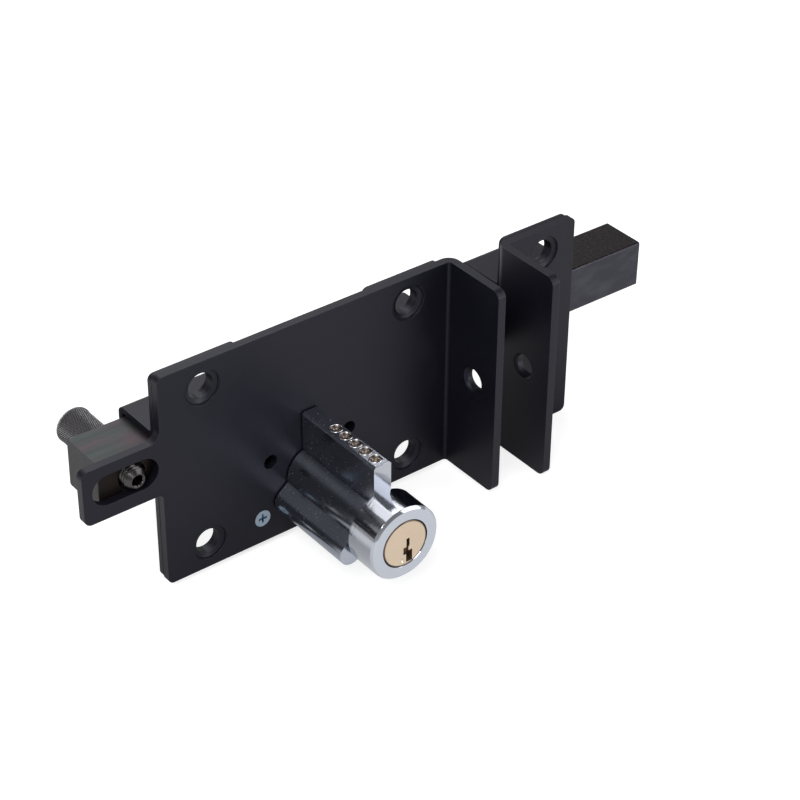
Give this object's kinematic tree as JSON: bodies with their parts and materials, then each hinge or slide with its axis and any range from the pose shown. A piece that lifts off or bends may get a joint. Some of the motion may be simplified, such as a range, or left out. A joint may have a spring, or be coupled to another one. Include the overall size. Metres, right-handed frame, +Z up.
{
  "type": "rim lock",
  "caption": "Surface rim lock with flanged black plate, square sliding bolt, knurled knob, keyed cylinder and a loose flanged keeper.",
  "frame": {"origin": "Middle of the four mounting holes, on the front face of the front plate.", "axes": "+X along the bolt towards the keeper, +Y away from the key towards the knob, +Z up."},
  "size_m": [0.2305, 0.0879, 0.0813],
  "materials": {
    "plate_black": "satin black powder coat",
    "bolt_steel": "black oxide, brushed along the bar",
    "bare_steel": "burnished steel",
    "spring_steel": "bright spring steel",
    "cylinder_chrome": "polished nickel",
    "plug_brass": "pale turned brass",
    "cap_nickel": "brownish nickel over brass",
    "zinc_steel": "bluish zinc plating"
  },
  "bodies": {
    "lock": {"front_plate": "plate_black", "bolt_housing": "plate_black", "cylinder_body": "cylinder_chrome", "driver_pin_1": "bare_steel", "driver_pin_2": "bare_steel", "driver_pin_3": "bare_steel", "driver_pin_4": "bare_steel", "driver_pin_5": "bare_steel", "pin_spring_1": "spring_steel", "pin_spring_2": "spring_steel", "pin_spring_3": "spring_steel", "pin_spring_4": "spring_steel", "pin_spring_5": "spring_steel", "chamber_cap_1": "cap_nickel", "chamber_cap_2": "cap_nickel", "chamber_cap_3": "cap_nickel", "chamber_cap_4": "cap_nickel", "chamber_cap_5": "cap_nickel", "cylinder_screws": "zinc_steel", "lock_case": "plate_black", "case_screws": "zinc_steel"},
    "bolt_slider": {"bolt": "bolt_steel", "bolt_fork": "bare_steel", "fork_pins": "bare_steel", "knob": "bolt_steel", "knob_stud": "bare_steel"},
    "plug_turner": {"plug": "plug_brass", "plug_clip": "spring_steel", "cam": "bare_steel", "crank_pin": "bare_steel", "cam_washer": "zinc_steel", "cam_screw": "zinc_steel", "key_pin_1": "plug_brass", "key_pin_2": "plug_brass", "key_pin_3": "plug_brass", "key_pin_4": "plug_brass", "key_pin_5": "plug_brass"},
    "keeper": {"keeper_bracket": "plate_black", "keeper_housing": "plate_black"}
  },
  "joints": [
    {"name": "bolt_slide", "type": "slide", "parent": "lock", "child": "bolt_slider", "axis": [-1, 0, 0.0087], "range_m": [0, 0.0114]},
    {"name": "plug_turn", "type": "hinge", "parent": "lock", "child": "plug_turner", "pos_m": [0, 0, -0.0183], "axis": [0, -1, 0], "range_deg": [0, 90]},
    {"name": "keeper_slide", "type": "slide", "parent": "lock", "child": "keeper", "axis": [1, 0, 0], "range_m": [-0.018, 0.07]}
  ],
  "couplings": [
    {"joint": "plug_turn", "follows": "bolt_slide", "rad_per_m": 137.78}
  ]
}
